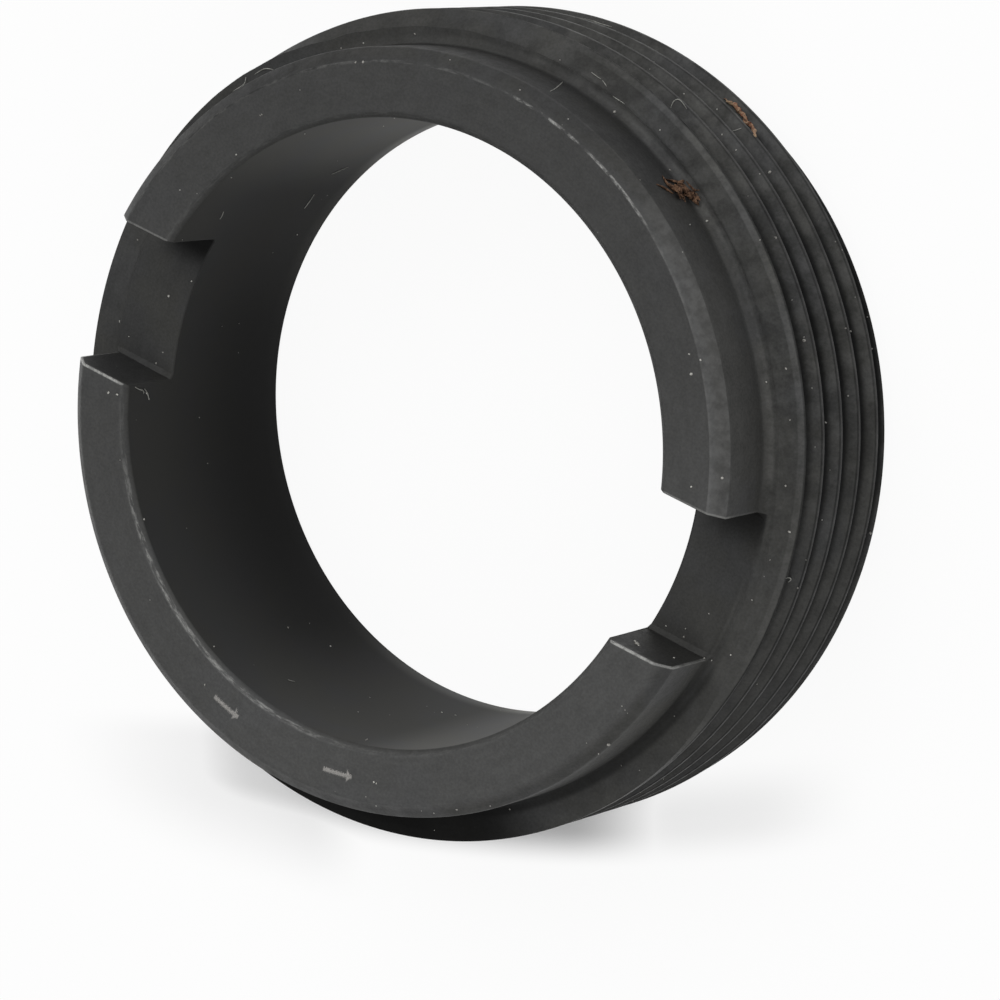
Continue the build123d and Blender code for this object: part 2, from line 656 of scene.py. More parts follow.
def turned_body(sizes):
    """The turned form: back face, shoulder, boss and bore, passing outside the crests"""
    bm = bmesh.new()
    boss_r = CREST_RADIUS - sizes.shoulder_ledge
    bore_r = boss_r - sizes.boss_wall
    shoulder = NUT_WIDTH - sizes.boss_height
    past = 0.1 * MM
    back = sizes.thread_back_chamfer
    chain = wire(
        bm,
        [
            (bore_r + sizes.bore_back_chamfer, 0),
            (CREST_RADIUS - back, 0),
            (CREST_RADIUS + past, back + past),
            (CREST_RADIUS + past, shoulder),
            (boss_r, shoulder),
            (boss_r, NUT_WIDTH - sizes.boss_chamfer),
            (boss_r - sizes.boss_chamfer, NUT_WIDTH),
            (bore_r + sizes.bore_front_chamfer, NUT_WIDTH),
            (bore_r, NUT_WIDTH - sizes.bore_front_chamfer),
            (bore_r, sizes.bore_back_chamfer),
        ],
    )
    bmesh.ops.contextual_create(bm, geom=[chain[-1], chain[0]])
    foot = chain[4]
    corners = [v for i, v in enumerate(chain) if i not in (2, 3, 4)]
    round_off(bm, [foot], sizes.boss_foot_fillet, FOOT_SEGMENTS)
    round_off(bm, corners, sizes.edge_rounding, CORNER_SEGMENTS)
    spin_round(bm, sizes.round_steps, 0)
    bmesh.ops.recalc_face_normals(bm, faces=bm.faces[:])
    return bm


def slot_bar(sizes):
    """The bar that the two slots are the print of"""
    bm = bmesh.new()
    side = sizes.slot_width / 2
    floor = NUT_WIDTH - sizes.slot_depth
    chamfer = sizes.slot_corner_chamfer
    top = NUT_WIDTH + MM
    reach = CREST_RADIUS + MM
    outline = (
        (-side, top),
        (-side, floor + chamfer),
        (-side + chamfer, floor),
        (side - chamfer, floor),
        (side, floor + chamfer),
        (side, top),
    )
    verts = [bmesh.ops.create_vert(bm, co=Vector((-reach, y, z)))["vert"][0] for y, z in outline]
    face = bmesh.ops.contextual_create(bm, geom=verts)["faces"][0]
    grown = bmesh.ops.extrude_face_region(bm, geom=[face])["geom"]
    far_end = [g for g in grown if isinstance(g, bmesh.types.BMVert)]
    bmesh.ops.translate(bm, verts=far_end, vec=(2 * reach, 0, 0))
    bmesh.ops.recalc_face_normals(bm, faces=bm.faces[:])
    return bm


def add_object(name, data):
    """Add an object at the origin of the scene"""
    added = bpy.data.objects.new(name, data)
    bpy.context.scene.collection.objects.link(added)
    return added


def as_object(bm, name):
    """Put a bmesh into a new object, and free it"""
    mesh = bpy.data.meshes.new(name)
    bm.to_mesh(mesh)
    bm.free()
    return add_object(name, mesh)


def mesh_of(piece):
    """The mesh that an object has with its modifiers"""
    graph = bpy.context.evaluated_depsgraph_get()
    return bpy.data.meshes.new_from_object(piece.evaluated_get(graph))


def cut(piece, cutter, operation):
    """Intersect a piece with a cutter, or take the cutter away from it"""
    cutting = piece.modifiers.new(operation.lower(), "BOOLEAN")
    cutting.operation = operation
    cutting.solver = "EXACT"
    cutting.object = cutter
    made = mesh_of(piece)
    piece.modifiers.clear()
    piece.data = made
    bpy.data.objects.remove(cutter)


def round_slot_edges(bm, sizes):
    """Round the milled edges where the slots meet the turned surfaces"""
    side = sizes.slot_width / 2
    floor = NUT_WIDTH - sizes.slot_depth
    milled = []
    for edge in bm.edges:
        if len(edge.link_faces) != 2 or edge.calc_face_angle() < MILLED_ANGLE:
            continue
        if all(abs(abs(v.co.y) - side) < ON_IT and v.co.z > floor + ON_IT for v in edge.verts):
            milled.append(edge)
    round_off(bm, milled, sizes.slot_edge_rounding, MILLED_SEGMENTS, "EDGES")


class RINGNUT_OT_body(bpy.types.Operator):
    """Make the nut's body in full detail, and let it stand for the CAD node"""

    bl_idname = "ring_nut.body"
    bl_label = "Nut body"

    def execute(self, context):
        sizes = context.scene.nut_sizes
        nut = as_object(threaded_bar(sizes), NUT_NAME)
        cut(nut, as_object(turned_body(sizes), "turned_body"), "INTERSECT")
        cut(nut, as_object(slot_bar(sizes), "slot_bar"), "DIFFERENCE")
        bm = bmesh.new()
        bm.from_mesh(nut.data)
        bmesh.ops.remove_doubles(bm, verts=bm.verts[:], dist=2 * ON_IT)
        bmesh.ops.dissolve_degenerate(bm, edges=bm.edges[:], dist=ON_IT)
        round_slot_edges(bm, sizes)
        bmesh.ops.recalc_face_normals(bm, faces=bm.faces[:])
        for face in bm.faces:
            face.smooth = True
        for edge in bm.edges:
            edge.smooth = len(edge.link_faces) == 2 and edge.calc_face_angle() < SHARP_ANGLE
        bm.to_mesh(nut.data)
        bm.free()
        even = nut.modifiers.new("even_normals", "WEIGHTED_NORMAL")
        even.keep_sharp = True
        even.weight = NORMAL_WEIGHT
        nut.data.materials.clear()
        nut.data.materials.append(blackened_steel(sizes, context.scene.nut_paints))
        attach(nut, BODY)
        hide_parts(CAD_NODE)
        return {"FINISHED"}


class NodeKit:
    """Short ways to add and link the nodes of one new material"""

    def __init__(self, name):
        self.material = bpy.data.materials.new(name)
        self.material.use_nodes = True
        self.tree = self.material.node_tree
        self.shader = self.tree.nodes["Principled BSDF"]

    def feed(self, socket, value):
        if isinstance(value, bpy.types.NodeSocket):
            self.tree.links.new(value, socket)
        else:
            socket.default_value = value

    def math(self, operation, *values):
        node = self.tree.nodes.new("ShaderNodeMath")
        node.operation = operation
        for socket, value in zip(node.inputs, values):
            self.feed(socket, value)
        return node.outputs[0]

    def times(self, *values):
        product = values[0]
        for value in values[1:]:
            product = self.math("MULTIPLY", product, value)
        return product

    def plus(self, *values):
        total = values[0]
        for value in values[1:]:
            total = self.math("ADD", total, value)
        return total

    def minus(self, a, b):
        return self.math("SUBTRACT", a, b)

    def apart(self, a, b):
        """How far two numbers are apart"""
        return self.math("ABSOLUTE", self.minus(a, b))

    def most(self, *values):
        most = values[0]
        for value in values[1:]:
            most = self.math("MAXIMUM", most, value)
        return most

    def between(self, share, low, high):
        """A number that goes from low to high with a share"""
        return self.plus(low, self.times(share, self.minus(high, low)))

    def length(self, a, b):
        return self.math("SQRT", self.plus(self.times(a, a), self.times(b, b)))

    def step(self, value, low, high, at_low=0.0, at_high=1.0):
        """A smooth step of a value between two limits"""
        node = self.tree.nodes.new("ShaderNodeMapRange")
        node.interpolation_type = "SMOOTHSTEP"
        self.feed(node.inputs["Value"], value)
        node.inputs["From Min"].default_value = low
        node.inputs["From Max"].default_value = high
        node.inputs["To Min"].default_value = at_low
        node.inputs["To Max"].default_value = at_high
        return node.outputs["Result"]

    def fall(self, value, low, high):
        """A smooth step down from 1 to 0"""
        return self.step(value, low, high, 1.0, 0.0)

    def place(self):
        """Place on the object in millimetres"""
        coordinates = self.tree.nodes.new("ShaderNodeTexCoord")
        scale = self.tree.nodes.new("ShaderNodeVectorMath")
        scale.operation = "SCALE"
        self.feed(scale.inputs[0], coordinates.outputs["Object"])
        scale.inputs["Scale"].default_value = 1 / MM
        return scale.outputs[0]

    def split(self, vector):
        node = self.tree.nodes.new("ShaderNodeSeparateXYZ")
        self.feed(node.inputs[0], vector)
        return node.outputs[0], node.outputs[1], node.outputs[2]

    def join(self, x, y, z):
        node = self.tree.nodes.new("ShaderNodeCombineXYZ")
        for socket, value in zip(node.inputs, (x, y, z)):
            self.feed(socket, value)
        return node.outputs[0]

    def clouds(self, vector, scale, detail=2.0, roughness=0.5):
        node = self.tree.nodes.new("ShaderNodeTexNoise")
        self.feed(node.inputs["Vector"], vector)
        node.inputs["Scale"].default_value = scale
        node.inputs["Detail"].default_value = detail
        node.inputs["Roughness"].default_value = roughness
        return node.outputs["Fac"]

    def blend(self, share, low, high):
        node = self.tree.nodes.new("ShaderNodeMix")
        node.data_type = "RGBA"
        self.feed(node.inputs["Factor"], share)
        self.feed(node.inputs["A"], low)
        self.feed(node.inputs["B"], high)
        return node.outputs["Result"]

    def roughen(self, height):
        """Fine relief of the surface"""
        node = self.tree.nodes.new("ShaderNodeBump")
        node.inputs["Strength"].default_value = 1.0
        node.inputs["Distance"].default_value = RELIEF_DEPTH
        self.feed(node.inputs["Height"], height)
        self.feed(self.shader.inputs["Normal"], node.outputs["Normal"])


def towards(kit, cos_turn, sin_turn, angle, low, high):
    """1 on the side of the nut that lies at an angle, in degrees, fading to 0"""
    angle = math.radians(angle)
    along = kit.plus(kit.times(cos_turn, math.cos(angle)), kit.times(sin_turn, math.sin(angle)))
    return kit.step(along, low, high)


def arrow_mark(kit, turn, r, tip_angle, arrow_r, ragged):
    """A plain direction arrow marked along the face's circle"""
    across = kit.math("ABSOLUTE", kit.plus(kit.minus(r, arrow_r), ragged))
    behind = kit.times(kit.minus(turn, tip_angle), -arrow_r)
    shaft = kit.times(
        kit.fall(across, *ARROW_SHAFT_HALF),
        kit.step(behind, 0.0, 0.06),
        kit.fall(behind, *ARROW_LENGTH),
    )
    inside = kit.minus(kit.plus(behind, ragged, -0.06), kit.times(across, 0.9))
    head = kit.times(kit.step(inside, -0.04, 0.03), kit.fall(behind, *ARROW_HEAD))
    head = kit.times(head, kit.step(inside, 0.08, 0.2, 1.0, 0.55))
    return kit.most(shaft, head)


def blackened_steel(sizes, paints):
    """Matte black oxide on turned steel: mottled, worn along its edges, with fine dust, and with painted
    light and shade
    """
    kit = NodeKit("blackened_steel")
    place = kit.place()
    x, y, z = kit.split(place)
    r = kit.length(x, y)
    cos_turn = kit.math("DIVIDE", x, r)
    sin_turn = kit.math("DIVIDE", y, r)
    turn = kit.math("ARCTAN2", y, x)
    profile = kit.plus(r, kit.times(z, 0.7))
    # Places for noise that is drawn out round the axis: tool lines, and streaks
    rings = kit.join(kit.times(cos_turn, 5.0), kit.times(sin_turn, 5.0), kit.times(profile, 16.0))
    streaks = kit.join(kit.times(cos_turn, 9.0), kit.times(sin_turn, 9.0), kit.times(profile, 3.0))

    crest_r = CREST_RADIUS / MM
    front = NUT_WIDTH / MM
    boss_r = crest_r - sizes.shoulder_ledge / MM
    bore_r = boss_r - sizes.boss_wall / MM
    chamfer = sizes.boss_chamfer / MM
    bore_chamfer = sizes.bore_front_chamfer / MM
    shoulder = front - sizes.boss_height / MM
    slot_side = sizes.slot_width / 2 / MM
    slot_floor = front - sizes.slot_depth / MM

    grain = kit.clouds(place, 9.0, 3.0, 0.6)
    fine = kit.clouds(place, 26.0, 2.0, 0.6)
    mottle = kit.clouds(place, 1.3, 5.0, 0.62)
    broad = kit.clouds(place, 0.33, 3.0, 0.5)
    lathe = kit.clouds(rings, 1.0, 3.0, 0.6)
    smears = kit.clouds(streaks, 1.0, 4.0, 0.6)
    patchy = kit.step(kit.clouds(streaks, 2.3, 4.0, 0.65), 0.42, 0.66)

    uneven = kit.times(
        kit.step(mottle, 0.25, 0.75, 0.94, 1.07),
        kit.step(grain, 0.2, 0.8, 0.87, 1.15),
        kit.step(smears, 0.3, 0.75, 0.96, 1.07),
    )

    from_front = kit.minus(z, front)
    slant = kit.times(kit.plus(r, z, chamfer - boss_r - front), math.sqrt(0.5))
    depth = kit.minus(crest_r, r)
    beside_slot = kit.minus(kit.math("ABSOLUTE", y), slot_side)

    def side(angle, low, high):
        return towards(kit, cos_turn, sin_turn, angle, low, high)

    # Masks: 1 on one part of the surface and 0 elsewhere
    in_bore = kit.times(
        kit.fall(r, bore_r + 0.03, bore_r + 0.1),
        kit.fall(from_front, -bore_chamfer - 0.05, -bore_chamfer),
    )
    on_top = kit.step(from_front, -0.35, -0.05)
    cool = kit.most(kit.step(broad, 0.4, 0.66), kit.times(on_top, 0.7))
    tint = kit.blend(cool, paints.warm_black, paints.cool_black)
    on_chamfer = kit.fall(kit.math("ABSOLUTE", slant), 0.02, 0.05)
    on_chamfer = kit.times(on_chamfer, kit.step(z, front - chamfer - 0.06, front - chamfer))
    on_wall = kit.times(
        kit.fall(kit.apart(r, boss_r), 0.02, 0.1),
        kit.fall(from_front, -chamfer - 0.1, -chamfer),
    )
    # Height over the thread's first crest, followed down the helix
    first_crest = shoulder - (sizes.groove_below_shoulder - sizes.pitch / 2) / MM
    next_turn = kit.math("LESS_THAN", turn, sizes.thread_start)
    unwound = kit.plus(kit.times(turn, 1 / math.tau), next_turn)
    from_first = kit.plus(z, kit.times(unwound, sizes.pitch / MM), -first_crest)
    below = kit.fall(from_first, 0.08, 0.12)
    on_shoulder = kit.times(kit.step(r, boss_r + 0.15, boss_r + 0.5), kit.step(from_first, 0.08, 0.12))
    on_crest = kit.times(kit.fall(depth, 0.0, 0.06), below)
    on_flank = kit.times(kit.step(depth, 0.03, 0.08), kit.fall(depth, 0.5, 0.8), below)
    on_flank = kit.times(on_flank, kit.step(r, boss_r - 0.5, boss_r))
    in_groove = kit.times(kit.step(depth, 0.26, 0.5), kit.step(r, boss_r - 0.5, boss_r), below)
    in_slot = kit.times(
        kit.fall(beside_slot, -0.01, 0.01),
        kit.fall(z, slot_floor + 0.25, slot_floor + 0.5),
        kit.step(r, bore_r, bore_r + 0.05),
        kit.fall(r, boss_r + 0.2, boss_r + 0.32),
    )
    on_slot_wall = kit.times(
        kit.fall(kit.math("ABSOLUTE", beside_slot), 0.02, 0.05),
        kit.step(z, slot_floor + 0.1, slot_floor + 0.3),
        kit.fall(z, front - 0.25, front - 0.1),
    )
    # Masks of the painted shadows under the slots' upper walls: the outer part of one floor, the inner part
    # of the other
    slot_corner = kit.times(
        in_slot,
        kit.step(y, 1.1, slot_side - 0.3),
        kit.step(r, bore_r + 0.3, bore_r + 1.4),
        kit.step(x, -1.0, 1.0),
    )
    inner_slot_shadow = kit.times(
        in_slot,
        kit.step(y, slot_side - 1.7, slot_side - 0.6),
        kit.fall(r, bore_r + 1.3, bore_r + 2.4),
        kit.fall(x, -1.0, 1.0),
    )
    on_foot = kit.times(
        kit.step(r, boss_r + 0.01, boss_r + 0.05),
        kit.fall(r, boss_r + 0.3, boss_r + 0.4),
        kit.step(z, shoulder - 0.02, shoulder + 0.05),
    )

    outer = kit.step(r, boss_r + 0.03, boss_r + 0.2)
    blotches = kit.step(kit.clouds(place, 0.9, 5.0, 0.65), 0.36, 0.64, -1.0, 1.0)
    at_foot = kit.length(kit.plus(r, -boss_r - 0.15), kit.plus(z, -shoulder - 0.15))
    at_foot = kit.fall(at_foot, 0.2, 0.45)

    # Painted light and shade, and a few random patches: where they are, on which side of the nut, and the
    # change
    painted_light_patches = (
        (on_top, None, 0.1),
        (on_top, (-38.0, 0.1, 1.0), 0.38),
        (on_top, (215.0, 0.3, 1.0), 0.13),
        (on_top, (-110.0, 0.7, 1.0), 0.1),
        (on_chamfer, (105.0, 0.5, 1.0), -0.15),
        (on_chamfer, (137.0, 0.85, 0.98), -0.33),
        (on_wall, (-35.0, 0.5, 0.95), 0.27),
        (on_chamfer, (205.0, 0.5, 0.95), 0.3),
        (on_wall, (17.0, 0.92, 0.98), -0.15),
        (on_wall, (100.0, 0.4, 0.95), -0.6),
        (on_foot, (44.0, 0.86, 0.9), 0.4),
        (on_shoulder, (58.0, 0.8, 0.97), -0.18),
        (on_shoulder, (-42.0, 0.8, 0.97), 0.35),
        (on_crest, None, -0.36),
        (on_flank, (35.0, 0.4, 0.9), 0.34),
        (on_crest, (-35.0, 0.5, 0.95), -0.65),
        (on_crest, (105.0, 0.85, 1.0), 0.6),
        (kit.times(on_crest, kit.fall(smears, 0.42, 0.55)), None, -0.3),
        (kit.times(outer, blotches), (55.0, 0.5, 0.95), 0.22),
        (kit.times(outer, blotches), None, 0.07),
        # Painted shadow at the boss's foot, and painted shade on the underside of the nut
        (at_foot, (-38.0, 0.82, 0.97), -0.6),
        (outer, (-78.0, 0.87, 0.955), -0.9),
        # Painted shade in the slots and on their walls, and painted shadows under the slots' upper walls
        (in_slot, None, -0.14),
        (slot_corner, None, -0.8),
        (inner_slot_shadow, None, -0.9),
        (on_slot_wall, None, -0.35),
    )
    tone_and_painted_light = uneven
    for mask, where, change in painted_light_patches:
        if where is not None:
            mask = kit.times(mask, side(*where))
        tone_and_painted_light = kit.times(tone_and_painted_light, kit.plus(kit.times(mask, change), 1.0))

    # Inside the bore: painted shade that darkens the steel towards the back
    # Painted sheen lightens it on the sides seen at a slant and near the back edge
    bore_painted_light = kit.plus(
        kit.step(z, 2.0, front + 0.3, 0.07, 1.0),
        kit.times(side(112.0, 0.72, 1.0), kit.step(z, 3.0, front + 0.3, 2.6, 1.0)),
        kit.times(side(150.0, 0.8, 1.0), kit.step(z, 2.0, 8.0, 0.28, 0.0)),
        kit.times(side(305.0, 0.5, 1.0), kit.step(z, 2.0, 9.0, 1.15, 0.6)),
        kit.times(side(305.0, 0.93, 1.0), 1.4),
    )
    bore_painted_light = kit.times(bore_painted_light, kit.step(z, 0.45, 1.4, 2.4, 1.0))
    tone_and_painted_light = kit.between(in_bore, tone_and_painted_light, bore_painted_light)

    # Bare steel along the worn edges, with painted highlights where they face the lamps
    rim = kit.length(kit.minus(r, boss_r - chamfer), from_front)
    rim_side = kit.plus(
        kit.times(side(73.0, 0.95, 0.99), 0.85),
        kit.times(side(110.0, 0.2, 0.8), 0.17),
        0.03,
    )
    rim_wear_and_highlight = kit.times(kit.fall(rim, 0.03, 0.085), rim_side, patchy)

    lip = kit.length(kit.minus(r, bore_r + bore_chamfer - 0.07), kit.plus(from_front, 0.07))
    # Painted highlight on the bore's lip and on its chamfer, on the side at -115 degrees
    lip_light = kit.times(side(-115.0, 0.74, 0.97), 0.6)
    lip_wear_and_highlight = kit.times(kit.fall(lip, 0.05, 0.13), kit.plus(lip_light, 0.09), patchy)
    lip_face_highlight = kit.times(
        kit.fall(kit.apart(kit.minus(r, z), bore_r + bore_chamfer - front), 0.02, 0.06),
        kit.fall(r, bore_r + 0.3, bore_r + 0.34),
        kit.step(z, front - 0.36, front - 0.3),
        kit.plus(lip_light, 0.15),
    )

    outside = kit.most(from_front, slant, kit.minus(r, boss_r))
    slot_edge = kit.length(beside_slot, kit.math("MINIMUM", outside, 0.0))
    on_boss = kit.step(z, slot_floor + 0.12, slot_floor + 0.3)
    # Brighter on the lower walls and near the front: wear and painted highlight
    low_side = kit.step(y, -1.0, 1.0, 1.0, 0.3)
    near_front = kit.step(z, front - 1.4, front - 0.5, 0.3, 1.2)
    slot_wear_and_highlight = kit.times(kit.fall(slot_edge, 0.06, 0.11), on_boss, low_side, near_front)
    slot_wear_and_highlight = kit.times(slot_wear_and_highlight, kit.step(smears, 0.4, 0.55, 0.55, 1.0))

    # Worn crests, with painted highlights on the sides at 105 and -45 degrees
    crest_side = kit.plus(
        kit.times(side(105.0, 0.7, 1.0), 0.7),
        kit.times(side(-45.0, 0.8, 1.0), 0.5),
        0.06,
    )
    crest_wear_and_highlight = kit.times(on_crest, kit.step(patchy, 0.0, 1.0, 0.02, 0.3), crest_side)

    # Scuffs on the boss's chamfer, and painted sheen on its side at 33 degrees
    scuff_and_sheen = kit.step(kit.clouds(place, 2.1, 5.0, 0.6), 0.3, 0.72)
    chamfer_sheen = kit.times(side(33.0, 0.8, 0.985), kit.plus(kit.times(scuff_and_sheen, 0.7), 0.4), 0.11)
    scuff_and_sheen = kit.times(on_chamfer, kit.plus(chamfer_sheen, kit.times(scuff_and_sheen, 0.015)))

    # Painted shade in the thread's groove, fading out on the side at 105 degrees
    root = kit.plus(
        kit.times(side(12.0, 0.5, 0.95), kit.step(from_first, -2.4, -1.2, 0.3, 0.05)),
        kit.times(side(105.0, 0.5, 0.95), -0.68),
        0.68,
    )
    root = kit.times(in_groove, root)

    # All the worn edges, with their painted highlights
    wear_and_highlight = kit.most(rim_wear_and_highlight, lip_wear_and_highlight, slot_wear_and_highlight, kit.times(crest_wear_and_highlight, 0.35))
    wear_and_highlight = kit.times(wear_and_highlight, kit.step(fine, 0.3, 0.62, 0.55, 1.0))

    # The two direction arrows
    ragged = kit.times(kit.minus(fine, 0.5), 0.3)
    arrows = zip(paints.arrow_tip_angles, paints.arrow_radii)
    mark = kit.most(*(arrow_mark(kit, turn, r, angle, far / MM, ragged) for angle, far in arrows))
    mark = kit.times(mark, kit.step(from_front, -0.03, -0.01), kit.step(fine, 0.38, 0.6, 0.5, 1.0))

    # Specks of dust that are too fine for a mesh
    dust = kit.tree.nodes.new("ShaderNodeTexVoronoi")
    kit.feed(dust.inputs["Vector"], place)
    dust.inputs["Scale"].default_value = SPECKS_PER_MM
    from_speck = kit.math("DIVIDE", dust.outputs["Distance"], SPECKS_PER_MM)
    chance = kit.split(dust.outputs["Color"])[0]
    dots = kit.times(kit.fall(from_speck, 0.018, 0.032), kit.step(chance, 0.45, 0.95))

    base = kit.blend(root, tint, GROOVE_SHADE_BLACK)
    shade = kit.tree.nodes.new("ShaderNodeVectorMath")
    shade.operation = "SCALE"
    kit.feed(shade.inputs[0], base)
    kit.feed(shade.inputs["Scale"], tone_and_painted_light)
    # Scuffs with the painted sheen, and the painted highlight on the bore's lip
    scuff_and_highlights = kit.plus(scuff_and_sheen, kit.times(lip_face_highlight, 0.05))
    color = kit.blend(scuff_and_highlights, shade.outputs[0], SCUFF_AND_SHEEN_GREY)
    color = kit.blend(kit.times(wear_and_highlight, 0.8), color, paints.worn_edge_and_highlight)
    color = kit.blend(kit.times(mark, 0.9), color, paints.mark)
    color = kit.blend(kit.times(dots, 0.55), color, paints.dust)
    kit.feed(kit.shader.inputs["Base Color"], color)

    gloss = kit.plus(kit.step(mottle, 0.3, 0.7, 0.62, 0.5), kit.step(grain, 0.3, 0.7, 0.04, -0.04))
    gloss = kit.plus(gloss, kit.times(wear_and_highlight, -0.12), kit.times(mark, 0.1), kit.times(dots, 0.2))
    gloss = kit.between(in_bore, gloss, 0.8)
    kit.feed(kit.shader.inputs["Roughness"], gloss)
    kit.shader.inputs["IOR"].default_value = STEEL_IOR
    kit.shader.inputs["Specular IOR Level"].default_value = SPECULAR_LEVEL

    relief = kit.plus(kit.times(lathe, 0.5), kit.times(grain, 0.35), kit.times(fine, 0.15))
    relief = kit.times(relief, kit.plus(kit.times(in_bore, -0.6), 1.0))
    kit.roughen(relief)
    return kit.material


def dry_scrap(name, light, dark, scale):
    """Dry loose matter in two colours"""
    kit = NodeKit(name)
    place = kit.place()
    coarse = kit.clouds(place, scale, 4.0, 0.65)
    fine = kit.clouds(place, scale * 5, 2.0, 0.6)
    share = kit.plus(kit.times(coarse, 0.65), kit.times(fine, 0.35))
    kit.feed(kit.shader.inputs["Base Color"], kit.blend(kit.step(share, 0.4, 0.6), dark, light))
    kit.feed(kit.shader.inputs["Roughness"], kit.step(fine, 0.3, 0.7, 0.7, 0.95))
    kit.roughen(fine)
    kit.shader.inputs["Specular IOR Level"].default_value = SPECULAR_LEVEL
    return kit.material


def camera_turn(stage):
    """The camera's rotation"""
    look = (Vector(stage.camera_target) - Vector(stage.camera_location)).to_track_quat("-Z", "Y")
    return look @ Quaternion((0, 0, 1), stage.camera_roll)


class NutSkin:
    """The nut's finished surface, for laying dirt on it"""

    def __init__(self, context):
        stage = context.scene.nut_stage
        nut = bpy.data.objects[NUT_NAME]
        self.tree = BVHTree.FromObject(nut, context.evaluated_depsgraph_get())
        self.eye = Vector(stage.camera_location)
        self.turn = camera_turn(stage)
        self.step = SENSOR_WIDTH / stage.camera_lens / PHOTO_SIDE
        self.pixel = self.step * (Vector(stage.camera_target) - self.eye).length

    def first(self, start, ray):
        """The first place on the nut along a ray, and its normal"""
        place, normal = self.tree.ray_cast(start, ray)[:2]
        if place is None:
            raise RuntimeError(f"no nut along {tuple(ray)}")
        return place, normal

    def under(self, across, down):
        """The place on the nut that a pixel of the photograph shows, and its normal"""
        half = PHOTO_SIDE / 2
        ray = Vector(((across - half) * self.step, (half - down) * self.step, -1.0))
        return self.first(self.eye, self.turn @ ray)


def add_grain(bm, draw, place, normal, size):
    """One grain of dust, flattened on the surface"""
    verts = bmesh.ops.create_icosphere(bm, subdivisions=1, radius=size / 2)["verts"]
    stretch = [draw.uniform(*limits) for limits in GRAIN_STRETCH]
    shape = Matrix.Diagonal((*stretch, 1.0))
    spin = Matrix.Rotation(draw.uniform(0, math.pi), 4, "Z")
    turn = normal.to_track_quat("Z", "Y").to_matrix().to_4x4() @ spin
    lift = Matrix.Translation(place + normal * size * GRAIN_LIFT)
    bmesh.ops.transform(bm, matrix=lift @ turn @ shape, verts=verts)


def strand(skin, pixels, thickness, ends=0.5):
    """A bent strand laid on the nut through the places of some pixels; gives its mesh

    Each pixel is (across, down), with its share of the thickness as a third number where it has one.
    """
    curve = bpy.data.curves.new("strand", "CURVE")
    curve.dimensions = "3D"
    curve.bevel_depth = thickness / 2
    curve.bevel_resolution = 2
    curve.use_fill_caps = True
    curve.resolution_u = 5
    spline = curve.splines.new("NURBS")
    spline.points.add(len(pixels) - 1)
    for i, (point, pixel) in enumerate(zip(spline.points, pixels)):
        share = pixel[2] if len(pixel) > 2 else (ends if i in (0, len(pixels) - 1) else 1.0)
        place, normal = skin.under(pixel[0], pixel[1])
        lifted = place + normal * thickness * (STRAND_LIFT * share + STRAND_GAP)
        point.co = (*lifted, 1.0)
        point.radius = share
    spline.order_u = 3
    spline.use_endpoint_u = True
    holder = add_object("strand", curve)
    mesh = mesh_of(holder)
    bpy.data.objects.remove(holder)
    return mesh


def finish_dirt(bm, name, material):
    """Close and turn outward a mesh of dirt, and let it ride on the nut"""
    bmesh.ops.remove_doubles(bm, verts=bm.verts[:], dist=MERGE)
    bmesh.ops.recalc_face_normals(bm, faces=bm.faces[:])
    for face in bm.faces:
        face.smooth = True
    piece = as_object(bm, name)
    piece.data.materials.append(material)
    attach(piece, BODY)


def crumple(verts, size, depth, shift, seed):
    """Move some vertices by noise, to make a shape ragged

    The seed is set each time, because without one the noise starts from the clock.
    """
    noise.seed_set(seed)
    for vert in verts:
        vert.co += noise.noise_vector(vert.co / size + shift) * depth


class RINGNUT_OT_dust(bpy.types.Operator):
    """Lay the grains of dust that the photograph shows, and some on the hidden sides"""

    bl_idname = "ring_nut.dust"
    bl_label = "Dust grains"

    def execute(self, context):
        dirt = context.scene.nut_dirt
        paints = context.scene.nut_paints
        skin = NutSkin(context)
        draw = random.Random(dirt.seed)
        bm = bmesh.new()
        for size, pixels in DUST_GRAINS:
            for across, down in pixels:
                place, normal = skin.under(across, down)
                add_grain(bm, draw, place, normal, size * skin.pixel)
        for i in range(dirt.unseen_grains):
            angle = draw.uniform(*HIDDEN_ANGLES)
            height = draw.uniform(*HIDDEN_HEIGHTS) * NUT_WIDTH
            out = Vector((math.cos(angle), math.sin(angle), 0.0))
            if i % ONE_IN_BORE:
                place, normal = skin.first(out * CREST_RADIUS * 1.5 + Vector((0, 0, height)), -out)
            else:
                place, normal = skin.first(Vector((0, 0, height)), out)
            add_grain(bm, draw, place, normal, draw.uniform(*HIDDEN_SIZES) * skin.pixel)
        finish_dirt(bm, "dust_grains", dry_scrap("pale_dust", paints.dust, DUST_DARK, 0.9))
        return {"FINISHED"}


class RINGNUT_OT_fibres(bpy.types.Operator):
    """Lay the pale loose fibres"""

    bl_idname = "ring_nut.fibres"
    bl_label = "Fibres"

    def execute(self, context):
        skin = NutSkin(context)
        paints = context.scene.nut_paints
        bm = bmesh.new()
        for pixels in FIBRES:
            bm.from_mesh(strand(skin, pixels, context.scene.nut_dirt.fibre_thickness))
        finish_dirt(bm, "pale_fibres", dry_scrap("pale_fibre", paints.fibre, FIBRE_DARK, 2.0))
        return {"FINISHED"}


